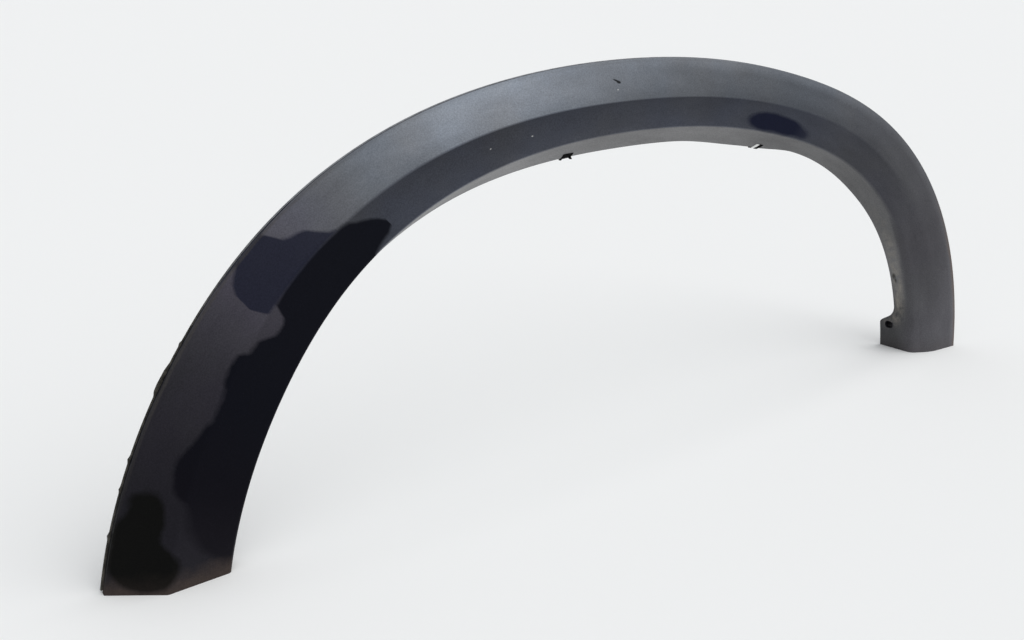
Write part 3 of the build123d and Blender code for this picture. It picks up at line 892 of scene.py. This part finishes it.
def drillTab(piece):  # screw hole through the tab, with its boss behind
    mount = next(m for m in frame["record"]["mounts"] if m["name"] == "screw_hole")
    axis = -Vector(mount["axis"])
    radius, length = mount["dims"]["r_mm"] * mm, mount["dims"]["length_mm"] * mm
    mouth = Vector(mount["pos_m"]) - axis * length / 2
    seat = Matrix.Translation(mouth) @ axis.to_track_quat("Z", "Y").to_matrix().to_4x4()

    def drillShape(work):
        turned(work, ((radius, -length / 2), (radius, length / 2)), seat, bossPlan["sides"])

    drill = shapedPiece("drill", piece.data.materials[0], drillShape)
    cut = piece.modifiers.new("screwHole", "BOOLEAN")
    cut.object, cut.operation, cut.solver = drill, "DIFFERENCE", "EXACT"
    applyModifiers(piece)
    bpy.data.objects.remove(drill)
    work = bmesh.new()
    work.from_mesh(piece.data)
    across = work.verts.layers.float["across"]
    along = work.verts.layers.float["along"]
    seen = set(work.verts)
    out, bevel = bossPlan["radius"] * mm, bossPlan["bevel"] * mm
    low, high = bossPlan["start"] * mm, bossPlan["end"] * mm
    profile = ((radius, low), (out, low), (out, high - bevel), (out - bevel, high), (radius + bevel, high),
               (radius, high - bevel))
    turned(work, profile, seat, bossPlan["sides"], closed=True)
    for vert in work.verts:
        # the bore's walls are marked for painted shade
        bored = (seat.inverted() @ vert.co).xy.length < radius * bossPlan["boreReach"]
        if vert not in seen or bored:
            vert[across] = bossPlan["boreAcross" if bored else "across"]
            vert[along] = angleAt(vert.co)
    work.to_mesh(piece.data)
    work.free()


def makeMoulding(finish):
    angles = evenAngles(*mouldingPlan["runs"])
    piece = newPiece("archMoulding", archGuide("archMoulding", angles, {}))
    tree = sweepTree("sweptMoulding", mouldingSizes, mouldingSection, mouldingPlan["facets"])
    bakeNodes(piece, tree, {**metres(mouldingSizes), "Finish": finish})
    standOnFloor(piece, 0, mouldingPlan["sharp"])
    drillTab(piece)
    return finishPiece(piece, "moulding", "arch_moulding")


sealSizes = {  # millimetres
    "Inner Depth": archPlan["innerDepth"],
    "Bead Depth": mouldingSizes["Bead Depth"] + 0.03,  # just behind the moulding's own
    "Thickness": 2.6, "Width": 5, "Lip Radius": 0.8,
}
sealPlan = {
    # angle along the arch, and how far the lip shows past the edge there in millimetres
    "lips": ((-84, 1.5), (-74.3, 1.4), (-74, 2.2), (-73.6, 1.1), (-69.9, 0.9), (-69.6, 1.7), (-69.3, 1),
             (-67.1, 0.9), (-66.8, 1.9), (-66.4, 0.9), (-60.7, 0.8), (-60.3, 2.2), (-59.6, 2.4),
             (-58.2, 1.9), (-57.4, 0.8), (-55.7, 0.7), (-55.5, 1.7), (-55.2, 0.6), (-40, 0.5), (0, 0.4),
             (84, 0.4)),
    "lift": 2,  # ends above the floor, millimetres
    "runs": ((-footAngle, -50, 0.2), (-50, footAngle + 0.1, 0.8)),
    "facets": {"front": 1.0},
    "sharp": 50,  # degrees
}


def makeSeal(finish):
    angles = evenAngles(*sealPlan["runs"])
    lips = numpy.interp(angles, *zip(*sealPlan["lips"]))
    piece = newPiece("edgeSeal", archGuide("edgeSeal", angles, {"lip": lips}))
    tree = sweepTree("sweptSeal", sealSizes, sealSection, sealPlan["facets"])
    bakeNodes(piece, tree, {**metres(sealSizes), "Finish": finish})
    standOnFloor(piece, sealPlan["lift"] * mm, sealPlan["sharp"])
    return finishPiece(piece, "seal", "edge_seal")


towerPlan = {
    "count": 6,
    "reach": 61,  # degrees to each side of the crown
    "length": 22, "width": 16, "height": 17, "wall": 2, "slot": 7, "inside": 1.2,  # millimetres
    "bevel": 0.35, "sharp": 40,  # millimetres, degrees
    "slotSteps": 13,
    # the towers' place is the flange's, so they take its painted bounce light
    "across": -2.0,  # place on the finish
}


def towerAngles():
    count, reach = towerPlan["count"], towerPlan["reach"]
    return [reach * (2 * i / (count - 1) - 1) for i in range(count)]


def towerFrame(angle):  # X along the arch, Y outwards, Z to the rear, on the crease's top
    turn = math.radians(angle)
    forward = Vector((math.cos(turn), 0, -math.sin(turn)))
    out = Vector((math.sin(turn), 0, math.cos(turn)))
    foot = archPoint(angle, at("crease", angle), -archPlan["innerDepth"] - at("rise", angle))
    axes = Matrix((forward, out, Vector((0, 1, 0)))).transposed()
    return Matrix.Translation(foot) @ axes.to_4x4() @ Matrix.Scale(mm, 4)


def tower(work, angle):  # one closed skin: three walls under a slotted plate, open at one end
    frameHere = towerFrame(angle)
    half, side, wall = towerPlan["length"] / 2, towerPlan["width"] / 2, towerPlan["wall"]
    top, slot = towerPlan["height"], towerPlan["slot"] / 2
    under, room, end = top - wall, side - wall, wall - half
    corners = {}
    outSlope = at("fall", angle) / (at("band", angle) - at("crease", angle))
    inSlope = at("rise", angle) / at("crease", angle)

    def root(out):  # where a wall starts, inside the moulding
        return towerPlan["inside"] + (outSlope * out if out > 0 else -inSlope * out)

    def skin(*places):  # face through places given as along, out and height, or None for the root
        for place in places:
            if place not in corners:
                height = root(place[1]) if place[2] is None else place[2]
                corners[place] = work.verts.new(frameHere @ Vector((place[0], place[1], height)))
        work.faces.new([corners[place] for place in places])

    turns = numpy.linspace(math.pi / 2, math.pi * 1.5, towerPlan["slotSteps"])
    arc = [(slot * math.cos(turn), slot * math.sin(turn)) for turn in turns]
    mouth = [(half, slot)] + arc + [(half, -slot)]
    plateRim = [(half, -side), (-half, -side), (-half, side), (half, side)]
    roomRim = [(half, -room), (end, -room), (end, room), (half, room)]
    skin(*((*point, top) for point in mouth + plateRim))
    skin(*((*point, under) for point in mouth + roomRim))
    for a, b in zip(mouth, mouth[1:]):
        skin((*a, top), (*b, top), (*b, under), (*a, under))
    for far, near, lip in ((side, room, slot), (-side, -room, -slot)):
        skin((half, far, None), (half, far, top), (half, lip, top), (half, lip, under), (half, near, under),
             (half, near, None))
        skin((half, far, None), (half, far, top), (-half, far, top), (-half, far, None))
        skin((half, near, None), (half, near, under), (end, near, under), (end, near, None))
        skin((half, far, None), (half, near, None), (end, near, None), (-half, far, None))
        skin((-half, far, None), (end, near, None), (end, 0, None), (-half, 0, None))
    for along, out, height in ((-half, side, top), (end, room, under)):
        skin((along, out, None), (along, out, height), (along, -out, height), (along, -out, None),
             (along, 0, None))


def makeTowers(finish):
    def towerShapes(work):
        for angle in towerAngles():
            tower(work, angle)

    piece = shapedPiece("retainerTowers", finish, towerShapes)
    softEdges(piece, towerPlan["bevel"], towerPlan["sharp"])
    angles = [angleAt(point.co) for point in piece.data.vertices]
    places = {"along": angles, "across": [towerPlan["across"]] * len(angles)}
    for key, values in places.items():
        piece.data.attributes.new(key, "FLOAT", "POINT").data.foreach_set("value", values)
    return finishPiece(piece, "moulding")


retainerPlan = {
    # radius and height, millimetres
    "profile": ((0.2, -3.5), (5.2, -3.5), (5.5, -3.2), (5.5, -2.3), (5.2, -2), (3.3, -2), (3.3, 0), (7.2, 0),
                (7.5, 0.3), (6.9, 1.5), (2.6, 1.5), (2.4, 1.8), (2.4, 5.4), (4.3, 5.4), (4.4, 5.7), (3, 9.6),
                (3.6, 9.6), (3.6, 9.9), (1.2, 14.2), (0.4, 14.5)),
    "flatFrom": 1.6, "flatHalf": 2.1,  # the stem's barbs spring on two sides only
    "sides": 36,
    "sharp": 40,  # degrees
}


def retainerTree():  # one retainer set on each place, turned as its attribute says
    inputs = {"Places": "Geometry", "Retainer": "Object", "Size": "Float", "Finish": "Material"}
    tree, w, start = newTree("retainerRow", inputs, "Row")
    one = w.add("GeometryNodeObjectInfo", {"Object": start["Retainer"]}).outputs["Geometry"]
    turn = w.add("GeometryNodeInputNamedAttribute", {"Name": "turn"}, data_type="FLOAT_VECTOR")
    turn = w.add("FunctionNodeEulerToRotation", {0: turn.outputs["Attribute"]}).outputs[0]
    places = {"Points": start["Places"], "Instance": one, "Rotation": turn, "Scale": start["Size"]}
    row = w.add("GeometryNodeInstanceOnPoints", places).outputs[0]
    row = w.add("GeometryNodeRealizeInstances", {"Geometry": row}).outputs[0]
    row = w.add("GeometryNodeSetMaterial", {"Geometry": row, "Material": start["Finish"]}).outputs[0]
    w.add("NodeGroupOutput", {"Row": row})
    return tree


def retainerShape(work):
    limit = retainerPlan["flatHalf"]
    turned(work, retainerPlan["profile"], Matrix.Identity(4), retainerPlan["sides"])
    for vert in work.verts:
        if vert.co.z > retainerPlan["flatFrom"]:
            vert.co.y = max(-limit, min(limit, vert.co.y))


def makeRetainers(finish):
    one = shapedPiece("oneRetainer", finish, retainerShape)
    mirror = Matrix.Diagonal((1, -1, 1, 1))  # the tower's axes are left-handed
    seat = Matrix.Translation((0, 0, towerPlan["height"])) @ mirror
    seats = [towerFrame(angle) @ seat for angle in towerAngles()]
    places = bpy.data.meshes.new("retainers")
    places.from_pydata([here.translation for here in seats], [], [])
    turns = [value for here in seats for value in here.to_euler()]
    places.attributes.new("turn", "FLOAT_VECTOR", "POINT").data.foreach_set("vector", turns)
    piece = newPiece("pushRetainers", places)
    bakeNodes(piece, retainerTree(), {"Retainer": one, "Size": mm, "Finish": finish})
    bpy.data.objects.remove(one)
    smoothShade(piece.data, retainerPlan["sharp"])
    return finishPiece(piece, "retainer", "retainers")


clipPlan = {  # millimetres, angles in degrees
    "left": {"angle": -8.2, "length": 10.8, "leg": 7.4, "tilt": -0.4, "farLeg": 4.5, "sheet": 1.2,
             "body": 0.7},
    "right": {"angle": 26.2, "length": 12.5, "leg": 7.4, "tilt": 0, "farLeg": 4.5, "sheet": 1.2,
              "body": 0.6},
    "prongs": ((-0.9, -1.2, 0.7), (0.72, 1.4, 1.7)),  # share of half the left clip's length, lean, reach
    "prongRoot": 1.1, "prongTip": 0.8, "prongTop": 0.8, "prongFront": 1.6,
    "white": (-0.58, 0.08), "core": (0.1, 0.84), "line": (-1, -0.6),  # shares of half the right clip
    "coreSizes": {"body": 0.9}, "lineSizes": {"body": 0.4, "leg": 1.0},
    "waist": 0.45, "tipSheet": 0.6,  # shares of the leg and of the sheet
    "gap": 0.05, "bevel": 0.3, "sharp": 35, "cuts": 7,
}


def flangeAt(angle):
    return float(eased(flangeLine, numpy.array([angle]))[0])


def clipLoop(angle, plan):  # outline of the bent strip round the flange's rear edge, as (out, depth)
    run = Vector((-at("drop", angle), archPlan["flange"])).normalized()
    side = Vector((run.y, -run.x))
    gap, sheet, body = clipPlan["gap"], plan["sheet"], plan["body"]
    back = Vector((0, 1))
    near = Vector((0, -archPlan["innerDepth"])) + run * (flangeAt(angle) / run.y) - side * gap + back * gap
    far = near + side * (mouldingSizes["Wall"] + 2 * gap)
    far = far + run * ((near.y - far.y) / run.y)
    nearTip, farTip = near - run * plan["leg"], far - run * plan["farLeg"]
    waist = near - run * plan["leg"] * clipPlan["waist"] - side * body
    return [nearTip, near, far, farTip, farTip + side * sheet, far + (side + back) * sheet,
            near + back * sheet - side * body, waist, nearTip - side * sheet * clipPlan["tipSheet"]]


def clipAngle(plan, share):  # share of half the clip's length, from its middle
    return plan["angle"] + math.degrees(plan["length"] / 2 / at("opening", plan["angle"])) * share


def strip(work, plan, first, last):  # part of the strip, from first to last as shares of half its length
    rows = []
    for share in numpy.linspace(first, last, clipPlan["cuts"]):
        angle = clipAngle(plan, share)
        here = {**plan, "leg": plan["leg"] + plan["tilt"] * share}
        rows.append([work.verts.new(archPoint(angle, *point)) for point in clipLoop(angle, here)])
    loft(work, rows)


def prong(work, plan, share, lean, reach):  # small leg standing out below the strip
    angle = clipAngle(plan, share)
    run = math.degrees(1 / at("opening", angle))
    rear = flangeAt(angle) - archPlan["innerDepth"] + clipPlan["gap"]
    root = -at("drop", angle) * flangeAt(angle) / archPlan["flange"]
    wide, narrow, top = clipPlan["prongRoot"], clipPlan["prongTip"], clipPlan["prongTop"]
    outline = ((-wide, top), (wide, top), (narrow + lean, -reach), (lean - narrow, -reach))

    def place(point, depth):
        return work.verts.new(archPoint(angle + point[0] * run, root + point[1], rear + depth))

    depths = (-clipPlan["prongFront"], plan["sheet"])
    loft(work, [[place(point, depth) for point in outline] for depth in depths])


def clipPiece(name, finish, slot, fill, *replaced):
    piece = shapedPiece(name, finish, fill)
    softEdges(piece, clipPlan["bevel"], clipPlan["sharp"])
    finishPiece(piece, slot, *replaced)


def makeClips(dark, light):
    left, right = clipPlan["left"], clipPlan["right"]

    def leftShape(work):
        strip(work, left, -1, 1)
        for share, lean, reach in clipPlan["prongs"]:
            prong(work, left, share, lean, reach)

    def rightShape(work):
        strip(work, right, *clipPlan["white"])

    def insertShape(work):
        strip(work, {**right, **clipPlan["coreSizes"]}, *clipPlan["core"])
        strip(work, {**right, **clipPlan["lineSizes"]}, *clipPlan["line"])

    clipPiece("flangeClipLeft", dark, "clip_dark", leftShape, "flange_clip_left")
    clipPiece("flangeClipRight", light, "clip_light", rightShape, "flange_clip_right")
    clipPiece("flangeClipInsert", dark, "clip_dark", insertShape)


wornAndShadedFinish = wornPlastic()
rubber = mottled("sealRubber", rubberLook)
nylon = mottled("naturalNylon", nylonLook)
blackClip = mottled("blackClip", blackLook)
whiteClip = mottled("whiteClip", whiteLook)
print("finishes made")

moulding = makeMoulding(wornAndShadedFinish)
print("moulding made:", len(moulding.data.polygons), "faces")
makeSeal(rubber)
makeTowers(wornAndShadedFinish)
makeRetainers(nylon)
makeClips(blackClip, whiteClip)
print("seal, towers, retainers and clips made")
